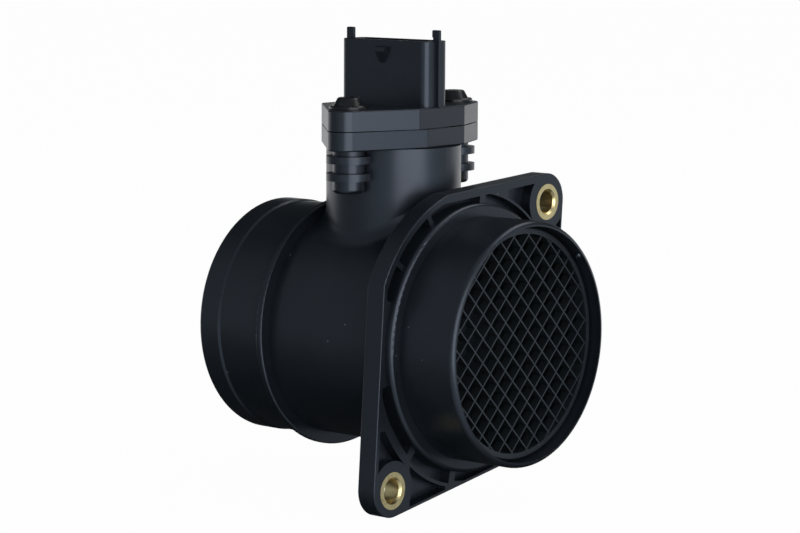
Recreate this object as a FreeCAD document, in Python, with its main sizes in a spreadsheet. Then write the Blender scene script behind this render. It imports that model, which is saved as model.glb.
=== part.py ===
"""Mass airflow sensor: a moulded flow tube with an insert that hangs in the air stream.

Units are millimetres. +X points out of the inlet against the flow, +Z up the tower.
The origin is on the flow axis, at the foot of the inlet collar.
"""
import FreeCAD, Part

import math
import os
import re

import Sketcher
from FreeCAD import Placement, Rotation, Vector

doc = FreeCAD.newDocument("airflow_sensor")
sheet = doc.addObject("Spreadsheet::Sheet", "Sizes")

# Driving dimensions: name, size in millimetres or degrees, meaning.
SIZES = [
    ("collar_radius", 35.0, "outer radius of the inlet collar"),
    ("collar_front", 18.8, "inlet lip in front of the collar's foot"),
    ("lip_round", 1.5, "rounding of the inlet lip"),
    ("duct_radius", 31.0, "bore of the flow tube"),
    ("grid_seat_radius", 33.5, "bore of the inlet collar that takes the grid"),
    ("grid_front", 15.3, "front face of the grid"),
    ("grid_depth", 4.0, "depth of the grid along the flow"),
    ("grid_ring_inner", 31.2, "inner radius of the grid's ring"),
    ("grid_ring_face", 32.6, "outer radius of the ring's front band"),
    ("grid_fit", 0.1, "clearance of the grid in its seat"),
    ("grid_pitch", 4.81, "distance from rib to rib in the grid"),
    ("grid_rib", 0.45, "thickness of a grid rib"),
    ("grid_rib_depth", 2.6, "depth of a grid rib along the flow"),
    ("bead_radius", 38.6, "outer radius of the ring at the collar's foot"),
    ("bead_height", 2.3, "height of that ring above the flange face"),
    ("bead_round", 1.1, "rounding of that ring"),
    ("flange_radius", 43.3, "radius of the round part of the flange"),
    ("flange_round", 0.3, "rounding of the flange's outer edges"),
    ("flange_thick", 6.0, "thickness of the flange, from the ring's foot backwards"),
    ("hole_side", 35.0, "mounting hole beside the flow axis"),
    ("hole_rise", 37.65, "mounting hole above or below the pair's middle"),
    ("hole_drop", 1.45, "middle of the hole pair below the flow axis"),
    ("ear_side", 8.6, "flange edge beyond the hole, sideways"),
    ("ear_rise", 9.0, "flange edge beyond the hole, upwards"),
    ("ear_round", 8.0, "rounding of the ear's corner"),
    ("waist_side", 37.5, "flange side at its narrow end"),
    ("waist_low", 36.2, "flange side's narrow end below the axis"),
    ("waist_high", 40.2, "flange side's narrow end above the axis"),
    ("groove_inner", 38.6, "inner radius of the ring groove"),
    ("groove_outer", 41.4, "outer radius of the ring groove"),
    ("bay_outer", 42.2, "outer radius of the groove beside the lower ear"),
    ("bay_start", 229, "angle at which that part of the groove starts"),
    ("bay_angle", 28, "angle that it spans"),
    ("groove_depth", 3.3, "depth of the groove and the ear pockets"),
    ("wall_top", 2.3, "flange wall above the pockets"),
    ("wall_side", 1.4, "flange wall beside the pockets"),
    ("wall_low", 1.1, "flange wall below the pockets"),
    ("boss_radius", 8.45, "radius of the solid boss round a bush"),
    ("upper_wall_radius", 42.1, "outer radius of the wall between groove and upper ear pocket"),
    ("lower_wall_radius", 43.2, "outer radius of the wall between groove and lower ear pocket"),
    ("side_wall_radius", 44.0, "outer radius of the wall between groove and the pocket beside the lower ear"),
    ("upper_pocket_side", 16.2, "start of the upper ear's pocket beside the axis"),
    ("upper_pocket_rise", 17.1, "start of the upper ear's pocket above the axis"),
    ("lower_pocket_side", 11.7, "start of the lower ear's pocket beside the axis"),
    ("lower_pocket_end", 27.6, "end of the lower ear's pocket beside the axis"),
    ("lower_pocket_drop", 30.0, "start of the lower ear's pocket below the axis"),
    ("side_pocket_side", 29.0, "start of the pocket beside the lower ear, beside the axis"),
    ("side_pocket_drop", 21.8, "start of the pocket beside the lower ear, below the axis"),
    ("side_pocket_end", 33.4, "end of the pocket beside the lower ear, below the axis"),
    ("rib_wide", 2.5, "thick stiffening rib"),
    ("rib_thin", 1.6, "thin stiffening rib"),
    ("web_start", 158.8, "start angle of the solid web"),
    ("web_angle", 35.0, "angle of the solid web"),
    ("bush_radius", 5.3, "outer radius of a brass bush"),
    ("bush_bore", 3.25, "bore radius of a brass bush"),
    ("bush_chamfer", 0.6, "chamfer at the mouth of the bush"),
    ("bush_proud", 0.1, "bush beyond the flange faces"),
    ("tube_radius", 33.3, "outer radius of the tube between ring and flange"),
    ("ring_front", 50.6, "front face of the stop ring behind the collar's foot"),
    ("ring_thick", 2.0, "thickness of the stop ring"),
    ("ring_radius", 36.9, "outer radius of the stop ring"),
    ("ring_round", 0.45, "rounding of the stop ring's edges"),
    ("stub_root_radius", 34.8, "stub radius at the stop ring"),
    ("stub_neck_radius", 34.45, "stub radius where the land begins"),
    ("stub_radius", 34.9, "outer radius of the stub's land"),
    ("stub_land", 7.6, "length of the land at the stub's end"),
    ("stub_slope", 0.7, "length of the slope up to the land"),
    ("stub_end", 77.1, "end of the stub behind the collar's foot"),
    ("stub_round", 1.1, "rounding of the stub's end"),
    ("tower_x", 31.9, "tower axis behind the collar's foot"),
    ("tower_radius", 19.6, "outer radius of the tower"),
    ("tower_blend", 6.0, "blend from the tower into the tube"),
    ("seat_top", 59.2, "top of the tower's plate, where the insert sits"),
    ("seat_thick", 5.4, "thickness of the tower's plate"),
    ("plate_gap", 0.3, "joint between the two plates"),
    ("plate_thick", 5.8, "thickness of the insert's plate"),
    ("near_ear_x", 6.8, "near ear corner, along the flow from the tower axis"),
    ("near_ear_y", 36.0, "near ear corner, beside the tower axis"),
    ("near_ear_round", 4.7, "rounding of the near ear"),
    ("front_near_x", 17.6, "near front corner, along the flow"),
    ("front_near_y", 5.8, "near front corner of the tower's plate, beside the axis"),
    ("front_step", 3.6, "near front corner of the insert's plate beyond that"),
    ("front_far_x", 16.2, "far front corner, along the flow"),
    ("front_far_y", 12.5, "far front corner, beside the axis"),
    ("far_ear_x", 7.4, "far ear corner, along the flow"),
    ("far_ear_y", 32.4, "far ear corner, beside the axis"),
    ("far_ear_round", 5.2, "rounding of the far ear"),
    ("back_x", 19.3, "back edge of the plates behind the tower axis"),
    ("back_near_y", 9.9, "near end of the back edge"),
    ("back_far_y", 10.5, "far end of the back edge"),
    ("corner_round", 1.0, "rounding of the plates' other corners"),
    ("plate_round", 0.45, "rounding of the plates' outer edges"),
    ("near_screw_x", 2.5, "near screw, along the flow from the tower axis"),
    ("near_screw_y", 22.8, "near screw, beside the tower axis"),
    ("far_screw_x", 3.8, "far screw, along the flow"),
    ("far_screw_y", 22.7, "far screw, beside the tower axis"),
    ("column_radius", 4.55, "radius of a screw column"),
    ("column_foot", 41.3, "underside of a screw column"),
    ("column_round", 1.2, "rounding of a column's foot"),
    ("fin_radius", 6.4, "radius of a cooling fin on a column"),
    ("fin_thick", 2.1, "thickness of a fin"),
    ("fin_low", 45.0, "underside of the lower fin"),
    ("fin_step", 4.9, "distance from fin to fin"),
    ("screw_radius", 2.0, "outer radius of a screw's thread"),
    ("screw_length", 14.0, "screw length under its head"),
    ("screw_hole_fit", 0.25, "clearance round a screw in the insert's plate"),
    ("screw_flange_radius", 5.6, "radius of the flange under a screw head"),
    ("screw_flange_thick", 1.0, "thickness of that flange"),
    ("head_radius", 4.35, "radius of a screw head at its foot"),
    ("head_top_radius", 3.1, "radius of a screw head's flat top"),
    ("head_height", 2.3, "height of a screw head above its flange"),
    ("recess_core", 1.3, "core radius of the six-lobed recess"),
    ("recess_lobe", 0.42, "radius of a lobe"),
    ("recess_depth", 1.5, "depth of the recess"),
    ("recess_pin", 0.5, "radius of the guard pin in the recess"),
    ("bore_radius", 16.6, "bore of the tower"),
    ("bore_floor", 37.0, "floor of the tower's bore"),
    ("plug_fit", 0.2, "clearance of the plug in the tower"),
    ("plug_foot", 46.0, "underside of the insert's plug"),
    ("seal_height", 53.0, "middle of the seal ring"),
    ("seal_cord", 1.5, "section radius of the seal ring"),
    ("seal_sink", 2.6, "depth of the seal's groove"),
    ("finger_half_x", 15.0, "half length of the finger along the flow"),
    ("finger_half_y", 8.5, "half width of the finger across the flow"),
    ("finger_tip", 20.0, "tip of the finger below the flow axis"),
    ("finger_round", 2.5, "rounding of the finger's upright edges"),
    ("slot_fit", 0.3, "clearance round the finger in its slot"),
    ("shroud_half_length", 16.1, "half length of the connector shroud"),
    ("shroud_half_width", 5.2, "half width of the connector shroud"),
    ("shroud_round", 2.4, "corner rounding of the shroud"),
    ("shroud_wall", 1.2, "wall of the shroud"),
    ("shroud_rim", 0.3, "rounding of the shroud's rim"),
    ("shroud_height", 18.8, "height of the shroud above the insert's plate"),
    ("shroud_floor", 3.5, "floor of the socket above the insert's plate"),
    ("key_inner", 14.6, "inner face of a guide key from the connector's middle"),
    ("key_outer", 17.0, "outer face of a guide key from the connector's middle"),
    ("key_back", 0.7, "rear guide key further out than the front one"),
    ("key_width", 1.1, "width of a guide key"),
    ("key_rise", 3.1, "guide key above the shroud's rim"),
    ("key_round", 0.3, "rounding of a guide key's top"),
    ("catch_width", 4.2, "width of the catch at its top"),
    ("catch_foot", 1.6, "width of the catch at its foot"),
    ("catch_low", 11.1, "foot of the catch above the insert's plate"),
    ("catch_high", 17.1, "top of the catch above the insert's plate"),
    ("catch_proud", 1.4, "catch in front of the shroud"),
    ("pin_pitch", 4.0, "distance from terminal to terminal"),
    ("pin_wide", 1.5, "width of a terminal blade"),
    ("pin_thick", 0.64, "thickness of a terminal"),
    ("pin_rise", 14.0, "terminal tip above the insert's plate"),
    ("jog_height", 55.0, "underside of the sideways run of a terminal"),
    ("tail_pitch", 3.2, "distance from terminal tail to terminal tail"),
    ("tail_foot", 38.4, "lower end of a terminal tail"),
    ("bay_half_x", 11.5, "half length of the electronics bay"),
    ("bay_depth", 6.0, "depth of the electronics bay"),
    ("bay_low", 3.0, "lower end of the electronics bay"),
    ("bay_high", 43.0, "upper end of the electronics bay"),
    ("cover_thick", 1.2, "thickness of the two covers"),
    ("cover_lip", 1.3, "cover beyond the bay all round"),
    ("cover_fit", 0.1, "clearance round a cover"),
    ("base_thick", 1.0, "thickness of the base plate"),
    ("base_gap", 0.1, "adhesive gap round the base plate"),
    ("board_thick", 0.8, "thickness of the circuit board"),
    ("board_inset", 1.5, "base plate beyond the circuit board"),
    ("board_high", 37.6, "upper end of the circuit board"),
    ("chip_side", 7.0, "side of the control chip"),
    ("chip_thick", 1.1, "thickness of the control chip"),
    ("chip_height", 20.0, "middle of the control chip"),
    ("channel_low", 14.5, "floor of the bypass channel below the axis"),
    ("channel_high", 2.0, "roof of the bypass channel below the axis"),
    ("channel_depth", 9.0, "depth of the bypass channel"),
    ("channel_half_x", 11.5, "channel's inner end behind the tower axis"),
    ("slit_half_x", 3.3, "half width of the slit for the sensor blade"),
    ("blade_thick", 0.8, "thickness of the sensor blade"),
    ("blade_half_x", 3.0, "half width of the sensor blade"),
    ("blade_foot", 11.0, "lower end of the sensor blade below the axis"),
    ("film_side", 3.6, "side of the hot-film chip"),
    ("film_thick", 0.3, "thickness of the hot-film chip"),
    ("bead_size", 1.1, "radius of the thermistor bead"),
    ("bead_depth", 8.0, "thermistor bead below the axis"),
    ("lead_radius", 0.25, "radius of a thermistor lead"),
    ("niche_half_x", 4.0, "half length of the thermistor niche"),
    ("niche_depth", 3.6, "depth of the thermistor niche"),
    ("niche_low", 14.0, "floor of the thermistor niche below the axis"),
    ("niche_high", 3.0, "roof of the thermistor niche above the axis"),
]
for row, (word, amount, meaning) in enumerate(SIZES, start=1):
    sheet.set("A%d" % row, meaning)
    sheet.set("B%d" % row, str(amount))
    sheet.setAlias("B%d" % row, word)
doc.recompute()
WORDS = {word for word, amount, meaning in SIZES}


def rule(text):
    """Write a rule between named sizes as an expression on the sheet."""
    return re.sub(r"[a-z_]+", lambda m: "Sizes." + m.group(0) if m.group(0) in WORDS else m.group(0), text)


def size(text):
    """Work out a rule between named sizes as a number."""
    return float(sheet.evalExpression(rule(text)))


def bind(item, **rules):
    """Bind properties of an item to rules; two underscores stand for a dot."""
    for name, text in rules.items():
        item.setExpression(name.replace("__", "."), rule(text))
    return item


def place(item, x="0", y="0", z="0", turn=None):
    """Place an item at three ruled coordinates, after an optional turn."""
    if turn is not None:
        item.Placement = Placement(Vector(0, 0, 0), turn)
    bind(item, Placement__Base__x=x, Placement__Base__y=y, Placement__Base__z=z)
    return item


ALONG_X = Rotation(Vector(0, 1, 0), 90)


def cylinder(name, radius, height, x="0", y="0", z="0", turn=None):
    item = bind(doc.addObject("Part::Cylinder", name), Radius=radius, Height=height)
    return place(item, x, y, z, turn)


def box(name, length, width, height, x="0", y="0", z="0"):
    item = bind(doc.addObject("Part::Box", name), Length=length, Width=width, Height=height)
    return place(item, x, y, z)


def fuse(name, pieces):
    item = doc.addObject("Part::MultiFuse", name)
    item.Shapes = pieces
    item.Refine = True
    return item


def cut(name, base, tool):
    item = doc.addObject("Part::Cut", name)
    item.Base = base
    item.Tool = tool
    return item


def common(name, pieces):
    item = doc.addObject("Part::MultiCommon", name)
    item.Shapes = pieces
    return item


def plane_of(body, role):
    return next(item for item in body.Origin.OriginFeatures if item.Role == role)


def outline(body, role, corners):
    """Draw a closed outline of straight sides whose corners are ruled coordinates."""
    sketch = body.newObject("Sketcher::SketchObject", body.Name + "_outline")
    sketch.AttachmentSupport = [(plane_of(body, role), "")]
    sketch.MapMode = "FlatFace"
    points = [Vector(size(u), size(v), 0) for u, v in corners]
    count = len(points)
    for i in range(count):
        sketch.addGeometry(Part.LineSegment(points[i], points[(i + 1) % count]), False)
    for i in range(count):
        sketch.addConstraint(Sketcher.Constraint("Coincident", i, 2, (i + 1) % count, 1))
    for i, (u, v) in enumerate(corners):
        for kind, text, amount in (("DistanceX", u, points[i].x), ("DistanceY", v, points[i].y)):
            number = sketch.addConstraint(Sketcher.Constraint(kind, -1, 1, i, 1, amount))
            sketch.setExpression("Constraints[%d]" % number, rule(text))
    return sketch


def upright_edges(shape, normal, spots):
    """Name the straight edges that run along the normal through any of the spots."""
    names = []
    for i, edge in enumerate(shape.Edges, start=1):
        ends = [v.Point for v in edge.Vertexes]
        if len(ends) != 2:
            continue
        run = ends[1] - ends[0]
        if run.cross(normal).Length > 1e-6:
            continue
        for spot in spots:
            if (ends[0] - spot).cross(normal).Length < 1e-4:
                names.append("Edge%d" % i)
    return names


def ring_edges(shape, axis, spots):
    """Name the circles round an axis through the origin that pass the ruled stations."""
    names = []
    for i, edge in enumerate(shape.Edges, start=1):
        if not isinstance(edge.Curve, Part.Circle) or edge.Curve.Axis.cross(axis).Length > 1e-6:
            continue
        station = edge.Curve.Center.dot(axis)
        for radius, place_on_axis in spots:
            if abs(edge.Curve.Radius - radius) < 1e-4 and abs(station - place_on_axis) < 1e-4:
                names.append("Edge%d" % i)
    return names


def level_edges(shape, normal, level):
    """Name the edges that lie across the normal at a level."""
    names = []
    for i, edge in enumerate(shape.Edges, start=1):
        spots = [v.Point for v in edge.Vertexes] + [edge.CenterOfMass]
        if all(abs(spot.dot(normal) - level) < 1e-5 for spot in spots):
            names.append("Edge%d" % i)
    return names


def prism(name, role, corners, length, rounds=(), rims=()):
    """A PartDesign body: an outline padded, with some of its corners and rims rounded."""
    body = doc.addObject("PartDesign::Body", name)
    sketch = outline(body, role, corners)
    pad = body.newObject("PartDesign::Pad", name + "_pad")
    pad.Profile = sketch
    bind(pad, Length=length)
    sketch.Visibility = False
    doc.recompute()
    normal = Vector(0, 0, 1) if role == "XY_Plane" else Vector(1, 0, 0)
    for number, (picks, radius) in enumerate(rounds):
        spots = []
        for pick in picks:
            u, v = size(corners[pick][0]), size(corners[pick][1])
            spots.append(Vector(u, v, 0) if role == "XY_Plane" else Vector(0, u, v))
        base = body.Tip
        step = body.newObject("PartDesign::Fillet", "%s_round_%d" % (name, number))
        step.Base = (base, upright_edges(base.Shape, normal, spots))
        bind(step, Radius=radius)
        doc.recompute()
    for number, (level, radius) in enumerate(rims):
        base = body.Tip
        step = body.newObject("PartDesign::Fillet", "%s_rim_%d" % (name, number))
        step.Base = (base, level_edges(base.Shape, normal, size(level)))
        bind(step, Radius=radius)
        doc.recompute()
    return body


def turned(name, corners, rounds=()):
    """A PartDesign body: a half section in X and Z turned round the X axis."""
    body = doc.addObject("PartDesign::Body", name)
    sketch = outline(body, "XZ_Plane", corners)
    turn = body.newObject("PartDesign::Revolution", name + "_turn")
    turn.Profile = sketch
    turn.ReferenceAxis = (sketch, ["H_Axis"])
    turn.Angle = 360
    doc.recompute()
    for number, (spots, radius) in enumerate(rounds):
        base = body.Tip
        step = body.newObject("PartDesign::Fillet", "%s_round_%d" % (name, number))
        stations = [(size(r), size(x)) for x, r in spots]
        step.Base = (base, ring_edges(base.Shape, Vector(1, 0, 0), stations))
        bind(step, Radius=radius)
        doc.recompute()
    return body


PARTS = []


def finish(item, label):
    """Give a finished piece the name that it is known by."""
    item.Label = label
    PARTS.append(item)
    return item


FLANGE_FACE = "-bead_height"
FLANGE_BACK = "-bead_height - flange_thick"

# Flow housing: the tube, its collar and stub, turned in one section.
tube = turned(
    "tube",
    [
        ("-stub_end", "0"),
        ("-stub_end", "stub_radius"),
        ("-stub_end + stub_land", "stub_radius"),
        ("-stub_end + stub_land + stub_slope", "stub_neck_radius"),
        ("-ring_front - ring_thick", "stub_root_radius"),
        ("-ring_front - ring_thick", "ring_radius"),
        ("-ring_front", "ring_radius"),
        ("-ring_front", "tube_radius"),
        (FLANGE_BACK, "tube_radius"),
        (FLANGE_BACK, "bead_radius"),
        ("0", "bead_radius"),
        ("0", "collar_radius"),
        ("collar_front", "collar_radius"),
        ("collar_front", "0"),
    ],
    [
        ([("-stub_end", "stub_radius")], "stub_round"),
        ([("0", "bead_radius")], "bead_round"),
        ([("collar_front", "collar_radius")], "lip_round"),
        ([("-ring_front - ring_thick", "ring_radius"), ("-ring_front", "ring_radius")], "ring_round"),
    ],
)

# Flange: a disc with two ears, held between four straight sides.
SIDE_TOP = "hole_rise - hole_drop + ear_rise"
SIDE_LOW = "-hole_rise - hole_drop - ear_rise"


def flange_sides(name, top, side, low, start, length, rims=()):
    """The four-sided block that bounds the flange, drawn in by three wall thicknesses."""
    return place(prism(
        name, "YZ_Plane",
        [
            ("hole_side + ear_side - (%s)" % side, SIDE_TOP + " - (%s)" % top),
            ("-waist_side + (%s)" % side, "waist_high - (%s)" % top),
            ("-hole_side - ear_side + (%s)" % side, SIDE_LOW + " + (%s)" % low),
            ("waist_side + (%s)" % side, "-waist_low + (%s)" % low),
        ],
        length, [((0, 2), "ear_round - (%s)" % side)], rims,
    ), x=start)


EAR_REACH = "flange_radius + 20"
flange_disc = turned(
    "flange_disc",
    [(FLANGE_BACK, "0"), (FLANGE_BACK, "flange_radius"), (FLANGE_FACE, "flange_radius"), (FLANGE_FACE, "0")],
    [([(FLANGE_BACK, "flange_radius"), (FLANGE_FACE, "flange_radius")], "flange_round")],
)
flange_form = fuse("flange_form", [
    flange_disc,
    box("ear_block_upper", "flange_thick", EAR_REACH, EAR_REACH, x=FLANGE_BACK),
    box("ear_block_lower", "flange_thick", EAR_REACH, EAR_REACH, FLANGE_BACK, "-(%s)" % EAR_REACH,
        "-(%s)" % EAR_REACH),
])
flange_block = flange_sides("flange_block", "0", "0", "0", FLANGE_BACK, "flange_thick",
                            [("0", "flange_round"), ("flange_thick", "flange_round")])
flange = common("flange", [flange_block, flange_form])

# Tower with its blend into the tube.
tower_post = cylinder("tower_post", "tower_radius", "seat_top - seat_thick", x="-tower_x")
tube_core = cylinder("tube_core", "tube_radius", "ring_front + 15 - 1", x="-ring_front - 15", turn=ALONG_X)
tower_join = fuse("tower_join", [tower_post, tube_core])
doc.recompute()
blend = doc.addObject("Part::Fillet", "tower_blend_surface")
blend.Base = tower_join
blend_edges = []
for i, edge in enumerate(tower_join.Shape.Edges, start=1):
    middle = edge.CenterOfMass
    plain = isinstance(edge.Curve, (Part.Line, Part.Circle))
    if not plain and middle.z > 0:
        blend_edges.append((i, size("tower_blend"), size("tower_blend")))
blend.Edges = blend_edges


def plate_corners(step):
    """Corners of a plate on the tower, seen from above, from its axis."""
    return [
        ("near_ear_x", "-near_ear_y"),
        ("front_near_x", "-front_near_y - (%s)" % step),
        ("front_far_x", "front_far_y"),
        ("far_ear_x", "far_ear_y"),
        ("-back_x", "back_far_y"),
        ("-back_x", "-back_near_y"),
    ]


PLATE_ROUNDS = [((0,), "near_ear_round"), ((3,), "far_ear_round"), ((1, 2, 4, 5), "corner_round")]
seat_plate = place(
    prism("seat_plate", "XY_Plane", plate_corners("0"), "seat_thick", PLATE_ROUNDS, [("0", "plate_round")]),
    x="-tower_x", z="seat_top - seat_thick",
)

# Screw columns with their fins.
SCREWS = {
    "near": ("-tower_x + near_screw_x", "-near_screw_y"),
    "far": ("-tower_x + far_screw_x", "far_screw_y"),
}
columns = []
for side, (x, y) in SCREWS.items():
    column = cylinder(side + "_column", "column_radius", "seat_top - 1 - column_foot - column_round", x, y,
                      "column_foot + column_round")
    foot = cylinder(side + "_foot", "column_radius - column_round", "column_round + 1", x, y, "column_foot")
    rounding = bind(doc.addObject("Part::Torus", side + "_foot_round"),
                    Radius1="column_radius - column_round", Radius2="column_round")
    place(rounding, x, y, "column_foot + column_round")
    columns += [column, foot, rounding]
    for level in range(2):
        columns.append(cylinder("%s_fin_%d" % (side, level), "fin_radius", "fin_thick", x, y,
                                "fin_low + %d * fin_step" % level))

# Brass bushes.
BUSHES = {
    "upper": ("hole_side", "hole_rise - hole_drop"),
    "lower": ("-hole_side", "-hole_rise - hole_drop"),
}

housing_body = fuse("housing_body", [tube, flange, blend, seat_plate] + columns)

# Pockets in the flange: a ring groove with ribs, and hollow ears.
POCKET_START = FLANGE_FACE + " - groove_depth"
POCKET_LENGTH = "groove_depth + 1"
groove_disc = cylinder("groove_disc", "groove_outer", POCKET_LENGTH, x=POCKET_START, turn=ALONG_X)
groove_bay = bind(doc.addObject("Part::Cylinder", "groove_bay"),
                  Radius="bay_outer", Height=POCKET_LENGTH, Angle="bay_angle")
place(groove_bay, x=POCKET_START, turn=Rotation(Vector(1, 0, 0), size("bay_start") + 90) * ALONG_X)
groove_core = cylinder("groove_core", "groove_inner", "groove_depth + 3", x=POCKET_START + " - 1", turn=ALONG_X)
groove_webs = []
for number in range(2):
    web = bind(doc.addObject("Part::Cylinder", "groove_web_%d" % number),
               Radius="groove_outer + 1", Height="groove_depth + 3", Angle="web_angle")
    start = size("web_start") + 180 * number
    # The cylinder's own start direction points down once its axis lies along X.
    place(web, x=POCKET_START + " - 1", turn=Rotation(Vector(1, 0, 0), start + 90) * ALONG_X)
    groove_webs.append(web)
RIBS = [(143.5, "rib_thin"), (118.5, "rib_thin"), (83.7, "rib_wide"), (227.5, "rib_wide"), (257.5, "rib_wide"),
        (323.5, "rib_thin"), (298.5, "rib_thin"), (45.5, "rib_wide"), (20.0, "rib_thin")]
groove_ribs = []
for number, (angle, thick) in enumerate(RIBS):
    rib = bind(doc.addObject("Part::Box", "groove_rib_%d" % number),
               Length="groove_depth + 3", Width=thick, Height="groove_outer + 1 - groove_inner + 2")
    turn = Rotation(Vector(1, 0, 0), angle - 90)
    offset = turn.multVec(Vector(0, -size(thick) / 2, size("groove_inner - 1")))
    rib.Placement = Placement(Vector(size(POCKET_START + " - 1"), offset.y, offset.z), turn)
    groove_ribs.append(rib)
groove_space = fuse("groove_space", [groove_disc, groove_bay])
groove_keep = fuse("groove_keep", [groove_core] + groove_webs + groove_ribs)
groove_full = cut("groove_full", groove_space, groove_keep)
groove = common("ring_groove", [
    groove_full, flange_sides("groove_block", "wall_top", "wall_side", "wall_low", POCKET_START, POCKET_LENGTH),
])

# Each ear pocket: the box that bounds it, and the outer radius of the wall between it and the groove.
EAR_POCKETS = {
    "upper": ("upper_pocket_side", "upper_pocket_rise", EAR_REACH, EAR_REACH, "upper_wall_radius"),
    "lower": ("-lower_pocket_end", "-lower_pocket_drop - " + EAR_REACH, "lower_pocket_end - lower_pocket_side",
              EAR_REACH, "lower_wall_radius"),
    "side": ("-side_pocket_side - " + EAR_REACH, "-side_pocket_end", EAR_REACH,
             "side_pocket_end - side_pocket_drop", "side_wall_radius"),
}
ear_pockets = []
for corner, (low_y, low_z, wide, high, wall) in EAR_POCKETS.items():
    y, z = BUSHES["upper" if corner == "upper" else "lower"]
    space = common(corner + "_ear_space", [
        flange_sides(corner + "_pocket_block", "wall_top", "wall_side", "wall_low", POCKET_START, POCKET_LENGTH),
        box(corner + "_pocket_box", POCKET_LENGTH, wide, high, POCKET_START, low_y, low_z),
    ])
    keep = [
        cylinder(corner + "_pocket_core", wall, "groove_depth + 3", x=POCKET_START + " - 1", turn=ALONG_X),
        cylinder(corner + "_boss_keep", "boss_radius", "groove_depth + 3", POCKET_START + " - 1", y, z, ALONG_X),
    ]
    ear_pockets.append(cut(corner + "_ear_pocket", space, fuse(corner + "_ear_keep", keep)))

# Bores of the housing.
duct = cylinder("duct", "duct_radius", "stub_end + collar_front + 2", x="-stub_end - 1", turn=ALONG_X)
grid_seat = cylinder("grid_seat", "grid_seat_radius", "collar_front - grid_front + grid_depth + 1",
                     x="grid_front - grid_depth", turn=ALONG_X)
bush_holes = [
    cylinder(side + "_bush_hole", "bush_radius", "flange_thick + 2", FLANGE_BACK + " - 1", y, z, ALONG_X)
    for side, (y, z) in BUSHES.items()
]
tower_bore = cylinder("tower_bore", "bore_radius", "seat_top - bore_floor + 1", x="-tower_x", z="bore_floor")


def rectangle(half_u, half_v):
    """Corners of a rectangle about the origin, from its half sizes."""
    minus_u, minus_v = "-(%s)" % half_u, "-(%s)" % half_v
    return [(half_u, half_v), (minus_u, half_v), (minus_u, minus_v), (half_u, minus_v)]


def finger_block(name, gap, low, high):
    """The finger's outline from above, drawn out by a gap."""
    half_x = "finger_half_x + (%s)" % gap
    half_y = "finger_half_y + (%s)" % gap
    return place(prism(
        name, "XY_Plane",
        rectangle(half_x, half_y),
        "(%s) - (%s)" % (high, low), [((0, 1, 2, 3), "finger_round + (%s)" % gap)],
    ), x="-tower_x", z=low)


finger_slot = finger_block("finger_slot", "slot_fit", "duct_radius - 12", "bore_floor + 1")
thread_holes = [
    cylinder(side + "_thread_hole", "screw_radius", "screw_length - plate_thick - plate_gap + 0.6 + 1", x, y,
             "seat_top + plate_gap + plate_thick - screw_length - 0.6")
    for side, (x, y) in SCREWS.items()
]
housing_hollows = fuse("housing_hollows", [groove, duct, grid_seat, tower_bore, finger_slot] + ear_pockets
                       + bush_holes + thread_holes)
finish(cut("housing", housing_body, housing_hollows), "flow_housing")

# Inlet grid: a ring with a square lattice turned by 45 degrees.
grid_ring = turned("grid_ring", [
    ("grid_front - grid_depth", "grid_ring_inner"),
    ("grid_front", "grid_ring_inner"),
    ("grid_front", "grid_ring_face"),
    ("grid_front - 1", "grid_seat_radius - grid_fit"),
    ("grid_front - grid_depth", "grid_seat_radius - grid_fit"),
])
ribs_each_way = int(size("grid_ring_inner / grid_pitch"))
grid_ribs = []
for slant in (45, -45):
    for step in range(-ribs_each_way, ribs_each_way + 1):
        rib = bind(doc.addObject("Part::Box", "grid_rib_%s_%d" % ("up" if slant > 0 else "down", step + 20)),
                   Length="grid_rib_depth", Width="grid_rib", Height="2 * grid_seat_radius")
        turn = Rotation(Vector(1, 0, 0), slant)
        offset = turn.multVec(Vector(0, step * size("grid_pitch") - size("grid_rib / 2"), -size("grid_seat_radius")))
        rib.Placement = Placement(Vector(size("grid_front - grid_rib_depth - 0.2"), offset.y, offset.z), turn)
        grid_ribs.append(rib)
grid_disc = cylinder("grid_disc", "grid_ring_inner + 0.5", "grid_depth", x="grid_front - grid_depth", turn=ALONG_X)
grid_lattice = common("grid_lattice", [fuse("grid_rib_set", grid_ribs), grid_disc])
finish(fuse("grid", [grid_ring, grid_lattice]), "inlet_grid")

for side, (y, z) in BUSHES.items():
    start = FLANGE_BACK + " - bush_proud"
    length = "flange_thick + 2 * bush_proud"
    shell = cylinder(side + "_bush_shell", "bush_radius", length, start, y, z, ALONG_X)
    bore = cylinder(side + "_bush_bore", "bush_bore", "flange_thick + 4", FLANGE_BACK + " - 2", y, z, ALONG_X)
    mouths = []
    for end, (first, last, at) in enumerate((("bush_bore", "bush_bore + bush_chamfer",
                                              FLANGE_FACE + " + bush_proud - bush_chamfer"),
                                             ("bush_bore + bush_chamfer", "bush_bore", start))):
        mouth = bind(doc.addObject("Part::Cone", "%s_mouth_%d" % (side, end)),
                     Radius1=first, Radius2=last, Height="bush_chamfer")
        mouths.append(place(mouth, at, y, z, ALONG_X))
    hollow = fuse(side + "_bush_hollow", [bore] + mouths)
    finish(cut(side + "_bush", shell, hollow), "flange_bush_" + side)

# Insert: plate, plug, finger and connector shroud are one moulding.
PLATE_LOW = "seat_top + plate_gap"
PLATE_TOP = "seat_top + plate_gap + plate_thick"
insert_plate = place(
    prism("insert_plate", "XY_Plane", plate_corners("front_step"), "plate_thick", PLATE_ROUNDS,
          [("plate_thick", "plate_round")]),
    x="-tower_x", z=PLATE_LOW,
)
plug = cylinder("plug", "bore_radius - plug_fit", PLATE_LOW + " - plug_foot + 1", x="-tower_x", z="plug_foot")
finger = finger_block("finger", "0", "-finger_tip", "plug_foot + 1")
spacer = cylinder("spacer", "bore_radius - plug_fit - 2", "plate_gap + 1", x="-tower_x", z="seat_top - 0.5")


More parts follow.
